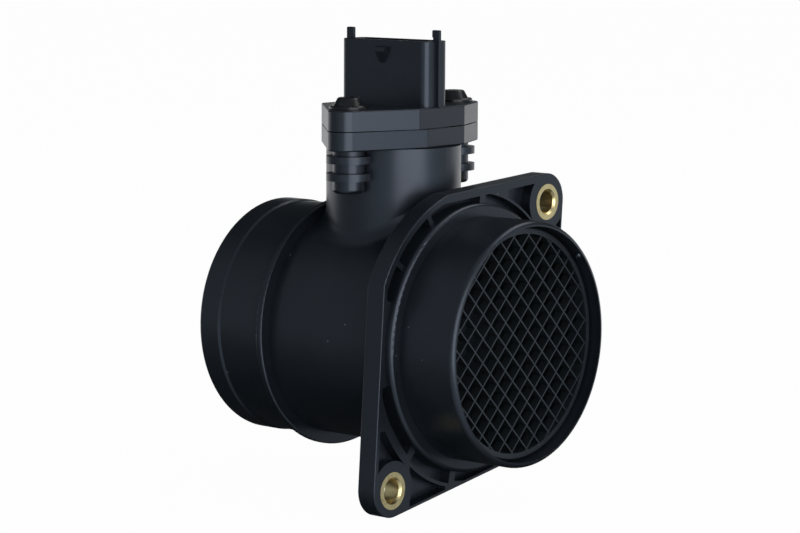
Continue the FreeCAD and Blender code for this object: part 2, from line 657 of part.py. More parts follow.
def shroud_block(name, inset, low, high, rims=()):
    """The connector's outline from above, drawn in by an inset."""
    half_u = "shroud_half_length - (%s)" % inset
    half_v = "shroud_half_width - (%s)" % inset
    return place(prism(
        name, "XY_Plane",
        rectangle(half_u, half_v),
        "(%s) - (%s)" % (high, low), [((0, 1, 2, 3), "shroud_round - (%s)" % inset)], rims,
    ), x="-tower_x", z=low)


shroud = shroud_block("shroud", "0", PLATE_TOP + " - 1", PLATE_TOP + " + shroud_height",
                      [("shroud_height + 1", "shroud_rim")])
socket = shroud_block("socket", "shroud_wall", PLATE_TOP + " + shroud_floor", PLATE_TOP + " + shroud_height + 1")
keys = []
for end, near, far in (("back", "-key_outer - key_back", "-key_inner - key_back"),
                       ("front", "key_inner", "key_outer")):
    keys.append(place(prism(
        end + "_key", "XY_Plane",
        [(far, "key_width / 2"), (near, "key_width / 2"), (near, "-key_width / 2"), (far, "-key_width / 2")],
        "shroud_height + key_rise", rims=[("shroud_height + key_rise", "key_round")],
    ), x="-tower_x", z=PLATE_TOP))
catch_side = place(prism(
    "catch_side", "YZ_Plane",
    [
        ("-shroud_half_width + 0.5", "catch_high"),
        ("-shroud_half_width - catch_proud", "catch_high - 0.4"),
        ("-shroud_half_width - catch_proud", "catch_high - 1.6"),
        ("-shroud_half_width + 0.5", "catch_low"),
    ],
    "catch_width",
), x="-tower_x - catch_width / 2", z=PLATE_TOP)
catch_front = place(prism(
    "catch_front", "XY_Plane",
    [
        ("catch_width / 2", "catch_high"),
        ("-catch_width / 2", "catch_high"),
        ("-catch_foot / 2", "catch_low"),
        ("catch_foot / 2", "catch_low"),
    ],
    "shroud_half_width + catch_proud + 1",
), x="-tower_x", z=PLATE_TOP, turn=Rotation(Vector(1, 0, 0), 90))
catch = common("catch", [catch_side, catch_front])
insert_body = fuse("insert_body", [insert_plate, plug, finger, spacer, shroud, catch] + keys)

seal_groove = cut(
    "seal_groove",
    cylinder("seal_band", "bore_radius + 1", "2 * seal_cord + 0.6", x="-tower_x", z="seal_height - seal_cord - 0.3"),
    cylinder("seal_core", "bore_radius - seal_sink", "2 * seal_cord + 2", x="-tower_x",
             z="seal_height - seal_cord - 1"),
)
FINGER_FACE = "finger_half_y"


def finger_box(name, x_low, x_high, y_low, y_high, z_low, z_high):
    """A block given by its limits from the tower axis and the flow axis."""
    spans = ["(%s) - (%s)" % pair for pair in ((x_high, x_low), (y_high, y_low), (z_high, z_low))]
    return box(name, *spans, x="-tower_x + (%s)" % x_low, y=y_low, z=z_low)


bay = finger_box("bay", "-bay_half_x", "bay_half_x", FINGER_FACE + " - bay_depth", FINGER_FACE + " + 1",
                 "bay_low", "bay_high")
bay_rebate = finger_box("bay_rebate", "-bay_half_x - cover_lip", "bay_half_x + cover_lip",
                        FINGER_FACE + " - cover_thick", FINGER_FACE + " + 1",
                        "bay_low - cover_lip", "bay_high + cover_lip")
channel = finger_box("channel", "-channel_half_x", "finger_half_x + 1", FINGER_FACE + " - channel_depth",
                     FINGER_FACE + " + 1", "-channel_low", "-channel_high")
channel_rebate = finger_box("channel_rebate", "-channel_half_x - cover_lip", "finger_half_x + 1",
                            FINGER_FACE + " - cover_thick", FINGER_FACE + " + 1",
                            "-channel_low - cover_lip", "-channel_high + cover_lip")
slit = finger_box("slit", "-slit_half_x", "slit_half_x", FINGER_FACE + " - bay_depth",
                  FINGER_FACE + " - bay_depth + 2", "-channel_high - 1", "bay_low + 1")
niche = finger_box("niche", "-niche_half_x", "niche_half_x", "-finger_half_y - 1", "-finger_half_y + niche_depth",
                   "-niche_low", "niche_high")
screw_holes = [
    cylinder(side + "_screw_hole", "screw_radius + screw_hole_fit", "plate_thick + 2", x, y, PLATE_LOW + " - 1")
    for side, (x, y) in SCREWS.items()
]

# Terminals: each runs down from the socket, sideways in the moulding and down into the bay.
PIN_COUNT = 5
TAIL_FACE = FINGER_FACE + " - bay_depth + base_thick + board_thick + 0.3"
pins = []
for number in range(PIN_COUNT):
    offset = number - (PIN_COUNT - 1) / 2
    thick, wide, jog = size("pin_thick"), size("pin_wide"), size("jog_height")
    axis = -size("tower_x")
    head = Vector(axis + offset * size("pin_pitch"), 0, 0)
    tail = Vector(axis + offset * size("tail_pitch"), size(TAIL_FACE) + thick / 2, 0)
    blade = Part.makeBox(wide, thick, size(PLATE_TOP + " + pin_rise") - jog, Vector(-wide / 2, -thick / 2, 0))
    blade = blade.makeChamfer(0.2, [e for e in blade.Edges if e.CenterOfMass.z > blade.BoundBox.ZMax - 1e-6])
    blade.Placement = Placement(Vector(head.x, head.y, jog), Rotation())
    run = tail - head
    # The run's corner tucks half a width into the blade and the tail.
    bar = Part.makeBox(run.Length, thick, thick, Vector(0, -thick / 2, 0))
    bar.Placement = Placement(Vector(head.x, head.y, jog), Rotation(Vector(1, 0, 0), run))
    knee = Part.makeCylinder(thick / 2, thick, Vector(tail.x, tail.y, jog))
    drop = Part.makeBox(thick, thick, jog + thick - size("tail_foot"),
                        Vector(tail.x - thick / 2, tail.y - thick / 2, size("tail_foot")))
    pin = doc.addObject("Part::Feature", "pin_%d" % (number + 1))
    pin.Shape = blade.fuse([bar, knee, drop]).removeSplitter()
    pins.append(finish(pin, "terminal_pin_%d" % (number + 1)))

insert_hollows = fuse("insert_hollows", [socket, seal_groove, bay, bay_rebate, channel, channel_rebate, slit, niche]
                      + screw_holes)
lead_holes = [
    cylinder("lead_hole_%d" % n, "lead_radius", "bay_low - niche_high + 30", "-tower_x + %d * (bead_size - 0.1)" % s,
             "-finger_half_y + niche_depth / 2", "niche_high - 0.5")
    for n, s in enumerate((-1, 1))
]
insert_hollow = cut("insert_hollow", insert_body, insert_hollows)
pin_group = fuse("pin_group", pins + lead_holes)
pin_group.Refine = False
finish(cut("insert", insert_hollow, pin_group), "sensor_carrier")

seal = bind(doc.addObject("Part::Torus", "seal"), Radius1="bore_radius - seal_sink + seal_cord",
            Radius2="seal_cord")
place(seal, x="-tower_x", z="seal_height")
seal_limit = cylinder("seal_limit", "bore_radius", "4 * seal_cord", x="-tower_x", z="seal_height - 2 * seal_cord")
seal_squeezed = common("seal_squeezed", [seal, seal_limit])
finish(seal_squeezed, "seal_ring")

# Electronics in the bay.
BASE_BACK = FINGER_FACE + " - bay_depth"
finish(finger_box("base", "-bay_half_x + base_gap", "bay_half_x - base_gap", BASE_BACK, BASE_BACK + " + base_thick",
                  "bay_low + base_gap", "tail_foot - 0.3"), "base_plate")
BOARD_BACK = BASE_BACK + " + base_thick"
BOARD_FACE = BOARD_BACK + " + board_thick"
finish(finger_box("board", "-bay_half_x + base_gap + board_inset", "bay_half_x - base_gap - board_inset",
                  BOARD_BACK, BOARD_FACE, "bay_low + base_gap + board_inset + 3", "board_high"), "circuit_board")
finish(finger_box("chip", "-chip_side / 2 - 2", "chip_side / 2 - 2", BOARD_FACE, BOARD_FACE + " + chip_thick",
                  "chip_height - chip_side / 2", "chip_height + chip_side / 2"), "control_chip")
CAPACITORS = [(5.0, 30.0), (5.0, 25.5), (-6.5, 30.5), (-6.0, 11.0), (5.5, 12.5), (0.5, 12.0)]
capacitors = []
for number, (u, w) in enumerate(CAPACITORS):
    capacitors.append(finger_box("capacitor_%d" % number, "%s - 1.6" % u, "%s + 1.6" % u, BOARD_FACE,
                                 BOARD_FACE + " + 1.2", "%s - 0.8" % w, "%s + 0.8" % w))
finish(fuse("capacitors", capacitors), "board_capacitors")

wires = []
for number in range(PIN_COUNT):
    offset = number - (PIN_COUNT - 1) / 2
    x = -size("tower_x") + offset * size("tail_pitch")
    top = Vector(x, size(TAIL_FACE + " + pin_thick"), size("tail_foot + 0.8"))
    low = Vector(x, size(BOARD_FACE), size("board_high - 1.4"))
    crown = Vector(x, size(TAIL_FACE + " + pin_thick + 0.7"), (top.z + low.z) / 2)
    arc = Part.Arc(top, crown, low).toShape()
    section = Part.Wire(Part.makeCircle(0.15, top, arc.tangentAt(arc.FirstParameter)))
    wires.append(Part.Wire(arc).makePipeShell([section], True, True).cut(pins[number].Shape))
wire_set = doc.addObject("Part::Feature", "wire_set")
wire_set.Shape = Part.makeCompound(wires)
finish(wire_set, "bond_wires")

# Sensor blade in its slit, with the hot-film chip in the channel.
finish(finger_box("blade", "-blade_half_x", "blade_half_x", BASE_BACK, BASE_BACK + " + blade_thick",
                  "-blade_foot", "bay_low + base_gap"), "chip_holder")
finish(finger_box("film", "-film_side / 2", "film_side / 2", BASE_BACK + " + blade_thick",
                  BASE_BACK + " + blade_thick + film_thick", "-blade_foot + 0.6", "-blade_foot + 0.6 + film_side"),
       "hot_film_chip")

# Covers.
cover_front = finger_box("bay_cover", "-bay_half_x - cover_lip + cover_fit", "bay_half_x + cover_lip - cover_fit",
                         FINGER_FACE + " - cover_thick", FINGER_FACE,
                         "bay_low - cover_lip + cover_fit", "bay_high + cover_lip - cover_fit")
finish(cover_front, "electronics_cover")
channel_cover = finger_box("channel_cover", "-channel_half_x - cover_lip + cover_fit", "finger_half_x - finger_round",
                           FINGER_FACE + " - cover_thick", FINGER_FACE,
                           "-channel_low - cover_lip + cover_fit", "-channel_high + cover_lip - cover_fit - 0.2")
outlet = finger_box("outlet", "-channel_half_x + 1", "-channel_half_x + 6", FINGER_FACE + " - cover_thick - 1",
                    FINGER_FACE + " + 1", "-channel_low + 2", "-channel_high - 2")
finish(cut("vented_cover", channel_cover, outlet), "bypass_cover")

# Thermistor bead on its two leads in the niche.
bead = bind(doc.addObject("Part::Sphere", "bead"), Radius="bead_size")
place(bead, "-tower_x", "-finger_half_y + niche_depth / 2", "-bead_depth")
leads = [
    cylinder("lead_%d" % n, "lead_radius", "bead_depth + niche_high + 6", "-tower_x + %d * (bead_size - 0.1)" % s,
             "-finger_half_y + niche_depth / 2", "-bead_depth")
    for n, s in enumerate((-1, 1))
]
finish(fuse("thermistor", [bead] + leads), "air_thermistor")

# Screws.
for side, (x, y) in SCREWS.items():
    head = doc.addObject("PartDesign::Body", side + "_screw_head")
    profile = outline(head, "XZ_Plane", [
        ("0", "-screw_length"),
        ("screw_radius - 0.6", "-screw_length"),
        ("screw_radius", "-screw_length + 1.2"),
        ("screw_radius", "0"),
        ("screw_flange_radius", "0"),
        ("screw_flange_radius", "screw_flange_thick - 0.3"),
        ("screw_flange_radius - 0.4", "screw_flange_thick"),
        ("head_radius", "screw_flange_thick"),
        ("head_top_radius", "screw_flange_thick + head_height"),
        ("0", "screw_flange_thick + head_height"),
    ])
    revolve = head.newObject("PartDesign::Revolution", side + "_screw_turn")
    revolve.Profile = profile
    revolve.ReferenceAxis = (profile, ["V_Axis"])
    revolve.Angle = 360
    doc.recompute()
    crown_edges = ring_edges(revolve.Shape, Vector(0, 0, 1),
                             [(size("head_top_radius"), size("screw_flange_thick + head_height"))])
    crown = head.newObject("PartDesign::Fillet", side + "_screw_crown")
    crown.Base = (revolve, crown_edges)
    crown.Radius = 0.9
    place(head, x, y, PLATE_TOP)
    recess_low = PLATE_TOP + " + screw_flange_thick + head_height - recess_depth"
    lobes = [cylinder(side + "_recess_core", "recess_core", "recess_depth + 1", x, y, recess_low)]
    for number in range(6):
        lobe = bind(doc.addObject("Part::Cylinder", "%s_lobe_%d" % (side, number)),
                    Radius="recess_lobe", Height="recess_depth + 1")
        angle = math.radians(60 * number)
        lobe.Placement.Base = Vector(size(x) + size("recess_core") * math.cos(angle),
                                     size(y) + size("recess_core") * math.sin(angle), size(recess_low))
        lobes.append(lobe)
    guard = cylinder(side + "_guard", "recess_pin", "recess_depth + 1", x, y, recess_low)
    recess = cut(side + "_recess", fuse(side + "_lobes", lobes), guard)
    cap = cylinder(side + "_guard_trim", "recess_pin", "1.2", x, y,
                   PLATE_TOP + " + screw_flange_thick + head_height - 0.3")
    finish(cut(side + "_screw", head, fuse(side + "_recess_all", [recess, cap])), side + "_screw")

doc.recompute()
for item in doc.Objects:
    if "Invalid" in item.State or "Error" in item.State:
        raise RuntimeError("%s (%s) did not build: %s" % (item.Label, item.Name, item.State))
os.makedirs("parts", exist_ok=True)
for item in PARTS:
    shape = item.Shape
    if shape.isNull() or not shape.isValid():
        raise RuntimeError("%s has no valid shape" % item.Label)
    shape.exportStep(os.path.join("parts", item.Label + ".step"))
    print("%-20s %2d solids %10.1f mm3 box %s" % (item.Label, len(shape.Solids), shape.Volume, shape.BoundBox))
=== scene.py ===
"""A mass airflow sensor with a grid inlet and a screwed-on film insert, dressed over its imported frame.

The frame's +X points out of the inlet, +Z up the tower, and its origin is at the inlet collar's foot.
"""

import logging
import math
from dataclasses import dataclass, field
from enum import Enum

import bmesh
import bpy
from mathutils import Matrix, Vector


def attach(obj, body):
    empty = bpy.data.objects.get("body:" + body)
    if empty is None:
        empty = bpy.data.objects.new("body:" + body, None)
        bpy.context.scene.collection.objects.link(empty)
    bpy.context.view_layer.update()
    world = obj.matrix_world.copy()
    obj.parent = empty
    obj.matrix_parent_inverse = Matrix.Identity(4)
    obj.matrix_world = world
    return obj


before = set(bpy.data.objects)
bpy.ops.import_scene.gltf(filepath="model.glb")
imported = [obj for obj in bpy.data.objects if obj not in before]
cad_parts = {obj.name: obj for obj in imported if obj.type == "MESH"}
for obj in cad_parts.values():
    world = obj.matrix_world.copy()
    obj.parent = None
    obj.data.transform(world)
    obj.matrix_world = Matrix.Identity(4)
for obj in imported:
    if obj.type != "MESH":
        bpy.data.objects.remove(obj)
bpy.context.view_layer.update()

log = logging.getLogger("airflow_sensor")
MM = 0.001
Triple = tuple[float, float, float]
Pair = tuple[float, float]
Colour = tuple[float, float, float, float]

# The bearing that leads away from the camera, on the plan.
AHEAD = (-0.642, 0.767)


class Slot(Enum):
    """The record's material slot for the black moulding."""

    MOULDING = "black_moulding"


class Wire:
    """A value that travels between shader nodes; arithmetic on it adds Math nodes."""

    def __init__(self, net: "Network", socket: bpy.types.NodeSocket) -> None:
        """Hold a socket of a node network.

        Args:
            net: The network that the socket belongs to.
            socket: The output socket that carries the value.
        """
        self.net = net
        self.socket = socket

    def _join(self, operation: str, first: "Wire | float", second: "Wire | float") -> "Wire":
        """Add one Math node over two values.

        Args:
            operation: The node's operation.
            first: The first value.
            second: The second value.

        Returns:
            The node's result.
        """
        return self.net.node("ShaderNodeMath", {"operation": operation}, {0: first, 1: second})

    def __add__(self, other: "Wire | float") -> "Wire":
        """Add a value."""
        return self._join("ADD", self, other)

    __radd__ = __add__

    def __mul__(self, other: "Wire | float") -> "Wire":
        """Multiply by a value."""
        return self._join("MULTIPLY", self, other)

    __rmul__ = __mul__

    def __sub__(self, other: "Wire | float") -> "Wire":
        """Take a value away."""
        return self._join("SUBTRACT", self, other)

    def __rsub__(self, other: float) -> "Wire":
        """Take this value away from a number."""
        return self._join("SUBTRACT", other, self)

    def greater(self, other: "Wire | float") -> "Wire":
        """Give the greater of two values."""
        return self._join("MAXIMUM", self, other)

    def size(self) -> "Wire":
        """Give the value without its sign."""
        return self._join("ABSOLUTE", self, 0.0)

    def ramp(self, low: float, high: float) -> "Wire":
        """Stretch a range of this value to the range from zero to one.

        Args:
            low: The value that becomes zero.
            high: The value that becomes one.

        Returns:
            The stretched and clamped value.
        """
        settings = {"clamp": True, "interpolation_type": "SMOOTHSTEP"}
        values = {"Value": self, "From Min": low, "From Max": high}
        return self.net.node("ShaderNodeMapRange", settings, values)


class Network:
    """A tree of shader nodes that is built up value by value."""

    def __init__(self, tree: bpy.types.NodeTree) -> None:
        """Hold a node tree.

        Args:
            tree: The tree that new nodes are added to.
        """
        self.tree = tree

    def node(self, kind: str, settings: dict | None = None, values: dict | None = None,
             output: int | str = 0) -> Wire:
        """Add one node.

        Args:
            kind: The node's type.
            settings: The node's own settings, which are set first.
            values: Numbers, colours or wires by input socket.
            output: The output socket that is returned.

        Returns:
            The chosen output.
        """
        made = self.tree.nodes.new(kind)
        for name, value in (settings or {}).items():
            setattr(made, name, value)
        for name, value in (values or {}).items():
            self.feed(made.inputs[name], value)
        return Wire(self, made.outputs[output])

    def feed(self, socket: bpy.types.NodeSocket, value: object) -> None:
        """Link a wire to a socket, or set the socket to a plain value.

        Args:
            socket: The input socket.
            value: A wire, a number, a colour or a vector.
        """
        if isinstance(value, Wire):
            self.tree.links.new(value.socket, socket)
        else:
            socket.default_value = value

    def layer(self, factor: Wire, first: Wire, second: Wire) -> Wire:
        """Mix two shaders.

        Args:
            factor: Zero for the first shader and one for the second.
            first: The first shader.
            second: The second shader.

        Returns:
            The mixed shader.
        """
        mixed = self.node("ShaderNodeMixShader", {}, {0: factor})
        self.tree.links.new(first.socket, mixed.socket.node.inputs[1])
        self.tree.links.new(second.socket, mixed.socket.node.inputs[2])
        return mixed

    def show(self, result: Wire, kind: str) -> None:
        """Link a shader to the network's output.

        Args:
            result: The finished shader.
            kind: The output node's type.
        """
        output = next(n for n in self.tree.nodes if n.type == kind)
        self.tree.links.new(result.socket, output.inputs["Surface"])


@dataclass(frozen=True)
class Noise:
    """Cloudy noise.

    Attributes:
        scale: Clouds per metre.
        detail: How many finer layers are added.
        rough: How strong the finer layers are.
        stretch: Scale of the pattern along each axis.
    """

    scale: float
    detail: float
    rough: float
    stretch: Triple = (1.0, 1.0, 1.0)


@dataclass(frozen=True)
class Relief:
    """A bump.

    Attributes:
        strength: The strength of the bump.
        height: The height of one unit, in metres.
    """

    strength: float
    height: float


class Shader(Network):
    """A material and the nodes that make its finish.

    Attributes:
        speck_core: The share of a dot's radius that is full.
    """

    speck_core: float = 0.6

    def __init__(self, name: str) -> None:
        """Start a material with a Principled surface.

        Args:
            name: The material's name.
        """
        self.material = bpy.data.materials.new(name)
        self.material.use_nodes = True
        super().__init__(self.material.node_tree)
        self.surface = next(n for n in self.tree.nodes if n.type == "BSDF_PRINCIPLED")

    def place(self) -> Wire:
        """Give the point of the surface in the object's own coordinates, in metres."""
        return self.node("ShaderNodeTexCoord", output="Object")

    def grain(self, noise: Noise) -> Wire:
        """Give cloudy noise from zero to one.

        Args:
            noise: The kind of noise.

        Returns:
            The noise value.
        """
        spot = self.node("ShaderNodeMapping", {}, {"Vector": self.place(), "Scale": noise.stretch})
        values = {"Vector": spot, "Scale": noise.scale, "Detail": noise.detail, "Roughness": noise.rough}
        return self.node("ShaderNodeTexNoise", {}, values)

    def specks(self, scale: float, radius: float) -> Wire:
        """Give one inside small scattered dots.

        Args:
            scale: Cells per metre, each with one dot's centre.
            radius: The dot's radius as a share of a cell.

        Returns:
            A mask that is one in a dot.
        """
        values = {"Vector": self.place(), "Scale": scale}
        distance = self.node("ShaderNodeTexVoronoi", {}, values, "Distance")
        return 1.0 - distance.ramp(radius * self.speck_core, radius)

    def waver(self, middle: float, *parts: tuple[Wire, float]) -> Wire:
        """Give a number that wavers with one or more noises.

        Args:
            middle: The number's middle.
            parts: Pairs of a noise and the width of its share.

        Returns:
            The wavering number.
        """
        total = middle
        for noise, width in parts:
            total = total + (noise - 0.5) * width
        return total

    def blend(self, mask: Wire | float, first: object, second: object) -> Wire:
        """Mix two colours.

        Args:
            mask: Zero for the first colour and one for the second.
            first: A colour or a wire of one.
            second: A colour or a wire of one.

        Returns:
            The mixed colour.
        """
        return self.node("ShaderNodeMix", {"data_type": "RGBA"}, {0: mask, 6: first, 7: second}, 2)

    def bump(self, height: Wire, relief: Relief, under: Wire | None = None) -> Wire:
        """Turn a height into a bumpy normal.

        Args:
            height: The height.
            relief: The kind of bump.
            under: A normal that this bump lies on.

        Returns:
            The bent normal.
        """
        values = {"Height": height, "Strength": relief.strength, "Distance": relief.height}
        if under is not None:
            values["Normal"] = under
        return self.node("ShaderNodeBump", {}, values)

    def surface_is(self, **values: object) -> bpy.types.Material:
        """Set the Principled surface's sockets.

        Args:
            values: Values by socket name, with an underscore for each space.

        Returns:
            The finished material.
        """
        for name, value in values.items():
            self.feed(self.surface.inputs[name.replace("_", " ")], value)
        return self.material


def tint(red: float, green: float, blue: float) -> Colour:
    """Give a linear colour with full alpha."""
    return (red, green, blue, 1.0)


@dataclass(frozen=True)
class Moulding:
    """Glass-filled black plastic as it leaves the mould, satin with a fine grain."""

    name: str = "black_glass_filled_plastic"
    shade: Colour = tint(0.0085, 0.0107, 0.0138)
    worn: Colour = tint(0.017, 0.020, 0.026)
    sheen: Colour = tint(0.75, 0.82, 1.0)
    lint: Colour = tint(0.30, 0.31, 0.33)
    roughness: float = 0.33
    dust: float = 1.0
    lint_cells: float = 130.0
    lint_radius: float = 0.036
    lint_cover: float = 0.6
    lint_dulling: float = 0.2
    worn_band: Pair = (0.45, 0.75)
    worn_share: float = 0.5
    index: float = 1.57
    cloud: Noise = Noise(45.0, 4.0, 0.6)
    flow: Noise = Noise(160.0, 2.0, 0.5, (0.35, 1.0, 1.0))
    grit: Noise = Noise(5200.0, 2.0, 0.6)
    fibre: Noise = Noise(2300.0, 3.0, 0.7)
    grit_relief: Relief = Relief(0.30, 0.012 * MM)
    flow_relief: Relief = Relief(0.25, 0.06 * MM)

    def make(self) -> bpy.types.Material:
        """Build the material.

        Returns:
            The finished material.
        """
        shader = Shader(self.name)
        cloud = shader.grain(self.cloud)
        flow = shader.grain(self.flow)
        fibre = shader.grain(self.fibre)
        lint = shader.specks(self.lint_cells, self.lint_radius) * self.dust
        colour = shader.blend(cloud.ramp(*self.worn_band) * self.worn_share, self.shade, self.worn)
        colour = shader.blend(lint * self.lint_cover, colour, self.lint)
        finish = shader.waver(self.roughness, (cloud, 0.10), (flow, 0.06), (fibre, 0.08))
        skin = shader.bump(flow, self.flow_relief, shader.bump(shader.grain(self.grit), self.grit_relief))
        return shader.surface_is(Base_Color=colour, Roughness=finish + lint * self.lint_dulling, Normal=skin,
                                 IOR=self.index, Specular_Tint=self.sheen)


@dataclass(frozen=True)
class TurnedBrass:
    """Drawn brass, turned to length, with fine rings and a little tarnish."""

    name: str = "turned_brass"
    bright: Colour = tint(0.84, 0.68, 0.36)
    tarnish: Colour = tint(0.46, 0.31, 0.13)
    tarnish_band: Pair = (0.48, 0.78)
    tarnish_share: float = 0.6
    roughness: float = 0.31
    stain: Noise = Noise(420.0, 4.0, 0.6)
    rings: Noise = Noise(500.0, 2.0, 0.5, (9.0, 1.0, 1.0))
    ring_relief: Relief = Relief(0.5, 0.10 * MM)

    def make(self) -> bpy.types.Material:
        """Build the material.

        Returns:
            The finished material.
        """
        shader = Shader(self.name)
        stain = shader.grain(self.stain)
        rings = shader.grain(self.rings)
        colour = shader.blend(stain.ramp(*self.tarnish_band) * self.tarnish_share, self.bright, self.tarnish)
        finish = shader.waver(self.roughness, (stain, 0.14), (rings, 0.12))
        return shader.surface_is(Base_Color=colour, Metallic=1.0, Roughness=finish,
                                 Normal=shader.bump(rings, self.ring_relief))


@dataclass(frozen=True)
class BlackZinc:
    """Black zinc on a steel screw, rubbed to grey in blotches."""

    name: str = "black_zinc"
    coat: Colour = tint(0.012, 0.013, 0.015)
    rubbed: Colour = tint(0.040, 0.041, 0.046)
    rubbed_band: Pair = (0.5, 0.8)
    roughness: float = 0.26
    metallic: float = 0.35
    blotch: Noise = Noise(700.0, 4.0, 0.65)
    fine: Noise = Noise(6000.0, 2.0, 0.6)
    fine_relief: Relief = Relief(0.3, 0.01 * MM)

    def make(self) -> bpy.types.Material:
        """Build the material.

        Returns:
            The finished material.
        """
        shader = Shader(self.name)
        blotch = shader.grain(self.blotch)
        fine = shader.grain(self.fine)
        colour = shader.blend(blotch.ramp(*self.rubbed_band), self.coat, self.rubbed)
        finish = shader.waver(self.roughness, (blotch, 0.22), (fine, 0.08))
        return shader.surface_is(Base_Color=colour, Metallic=self.metallic, Roughness=finish,
                                 Normal=shader.bump(fine, self.fine_relief))


@dataclass(frozen=True)
class PlainMetal:
    """Rolled or tinned sheet metal with faint drawing lines."""

    name: str
    colour: Colour
    roughness: float
    dulled: float = 0.7
    dull_band: Pair = (0.4, 0.8)
    dull_share: float = 0.6
    lines: Noise = Noise(700.0, 3.0, 0.6, (1.0, 1.0, 8.0))
    cloud: Noise = Noise(350.0, 3.0, 0.6)
    line_relief: Relief = Relief(0.2, 0.01 * MM)

    def make(self) -> bpy.types.Material:
        """Build the material.

        Returns:
            The finished material.
        """
        shader = Shader(self.name)
        lines = shader.grain(self.lines)
        cloud = shader.grain(self.cloud)
        dull = tint(*(value * self.dulled for value in self.colour[:3]))
        colour = shader.blend(cloud.ramp(*self.dull_band) * self.dull_share, self.colour, dull)
        finish = shader.waver(self.roughness, (lines, 0.18), (cloud, 0.10))
        return shader.surface_is(Base_Color=colour, Metallic=1.0, Roughness=finish,
                                 Normal=shader.bump(lines, self.line_relief))


@dataclass(frozen=True)
class Compound:
    """A cast, pressed or fired solid: rubber, ceramic, resin or glass-glazed."""

    name: str
    colour: Colour
    second: Colour
    roughness: float
    second_band: Pair = (0.4, 0.7)
    cloud: Noise = Noise(300.0, 4.0, 0.6)
    grit: Noise = Noise(4000.0, 2.0, 0.6)
    grit_relief: Relief = Relief(0.25, 0.012 * MM)

    def make(self) -> bpy.types.Material:
        """Build the material.

        Returns:
            The finished material.
        """
        shader = Shader(self.name)
        cloud = shader.grain(self.cloud)
        grit = shader.grain(self.grit)
        colour = shader.blend(cloud.ramp(*self.second_band), self.colour, self.second)
        finish = shader.waver(self.roughness, (cloud, 0.12), (grit, 0.08))
        skin = shader.bump(grit, self.grit_relief)
        return shader.surface_is(Base_Color=colour, Roughness=finish, Normal=skin)


@dataclass
class Finishes:
    """Every finish of the sensor, made once and shared."""

    moulding: bpy.types.Material = field(default_factory=lambda: Moulding().make())
    # The grid's copy of the black plastic is painted lighter than the housing's, standing in for light
    # reflected inside the duct: painted light.
    grid: bpy.types.Material = field(
        default_factory=lambda: Moulding("black_grid_plastic_painted_light", tint(0.013, 0.016, 0.018),
                                         tint(0.020, 0.024, 0.027), roughness=0.45, dust=0.3).make())
    brass: bpy.types.Material = field(default_factory=lambda: TurnedBrass().make())
    zinc: bpy.types.Material = field(default_factory=lambda: BlackZinc().make())
    tin: bpy.types.Material = field(
        default_factory=lambda: PlainMetal("tinned_blade", tint(0.62, 0.61, 0.58), roughness=0.24).make())
    plate: bpy.types.Material = field(
        default_factory=lambda: PlainMetal("rolled_aluminium", tint(0.60, 0.61, 0.62), roughness=0.34).make())
    ceramic: bpy.types.Material = field(
        default_factory=lambda: Compound("fired_ceramic", tint(0.62, 0.66, 0.68),
                                         tint(0.55, 0.60, 0.63), roughness=0.38).make())
    chip: bpy.types.Material = field(
        default_factory=lambda: Compound("chip_resin", tint(0.018, 0.020, 0.024),
                                         tint(0.03, 0.03, 0.034), roughness=0.42).make())
    capacitor: bpy.types.Material = field(
        default_factory=lambda: Compound("capacitor_body", tint(0.30, 0.22, 0.14),
                                         tint(0.24, 0.17, 0.11), roughness=0.4).make())
    bead: bpy.types.Material = field(
        default_factory=lambda: Compound("glazed_bead", tint(0.30, 0.11, 0.03),
                                         tint(0.20, 0.07, 0.02), roughness=0.16).make())
    rubber: bpy.types.Material = field(
        default_factory=lambda: Compound("seal_rubber", tint(0.010, 0.010, 0.011),
                                         tint(0.016, 0.016, 0.017), roughness=0.62).make())


@dataclass
class Frame:
    """The carried-over frame nodes and the finish that each one gets."""

    finishes: Finishes

    def dress(self) -> None:
        """Give every frame node its finish."""
        rows = {
            "flow_housing": self.finishes.moulding,
            "inlet_grid": self.finishes.grid,
            "flange_bush_upper": self.finishes.brass,
            "flange_bush_lower": self.finishes.brass,
            "sensor_carrier": self.finishes.moulding,
            "seal_ring": self.finishes.rubber,
            "base_plate": self.finishes.plate,
            "circuit_board": self.finishes.ceramic,
            "control_chip": self.finishes.chip,
            "board_capacitors": self.finishes.capacitor,
            "bond_wires": self.finishes.plate,
            "chip_holder": self.finishes.plate,
            "hot_film_chip": self.finishes.chip,
            "electronics_cover": self.finishes.moulding,
            "bypass_cover": self.finishes.moulding,
            "air_thermistor": self.finishes.bead,
            "near_screw": self.finishes.zinc,
            "far_screw": self.finishes.zinc,
        }
        for name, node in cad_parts.items():
            material = self.finishes.tin if name.startswith("terminal_pin") else rows[name]
            node.data.materials.clear()
            node.data.materials.append(material)
            log.info("frame node %s wears %s", name, material.name)


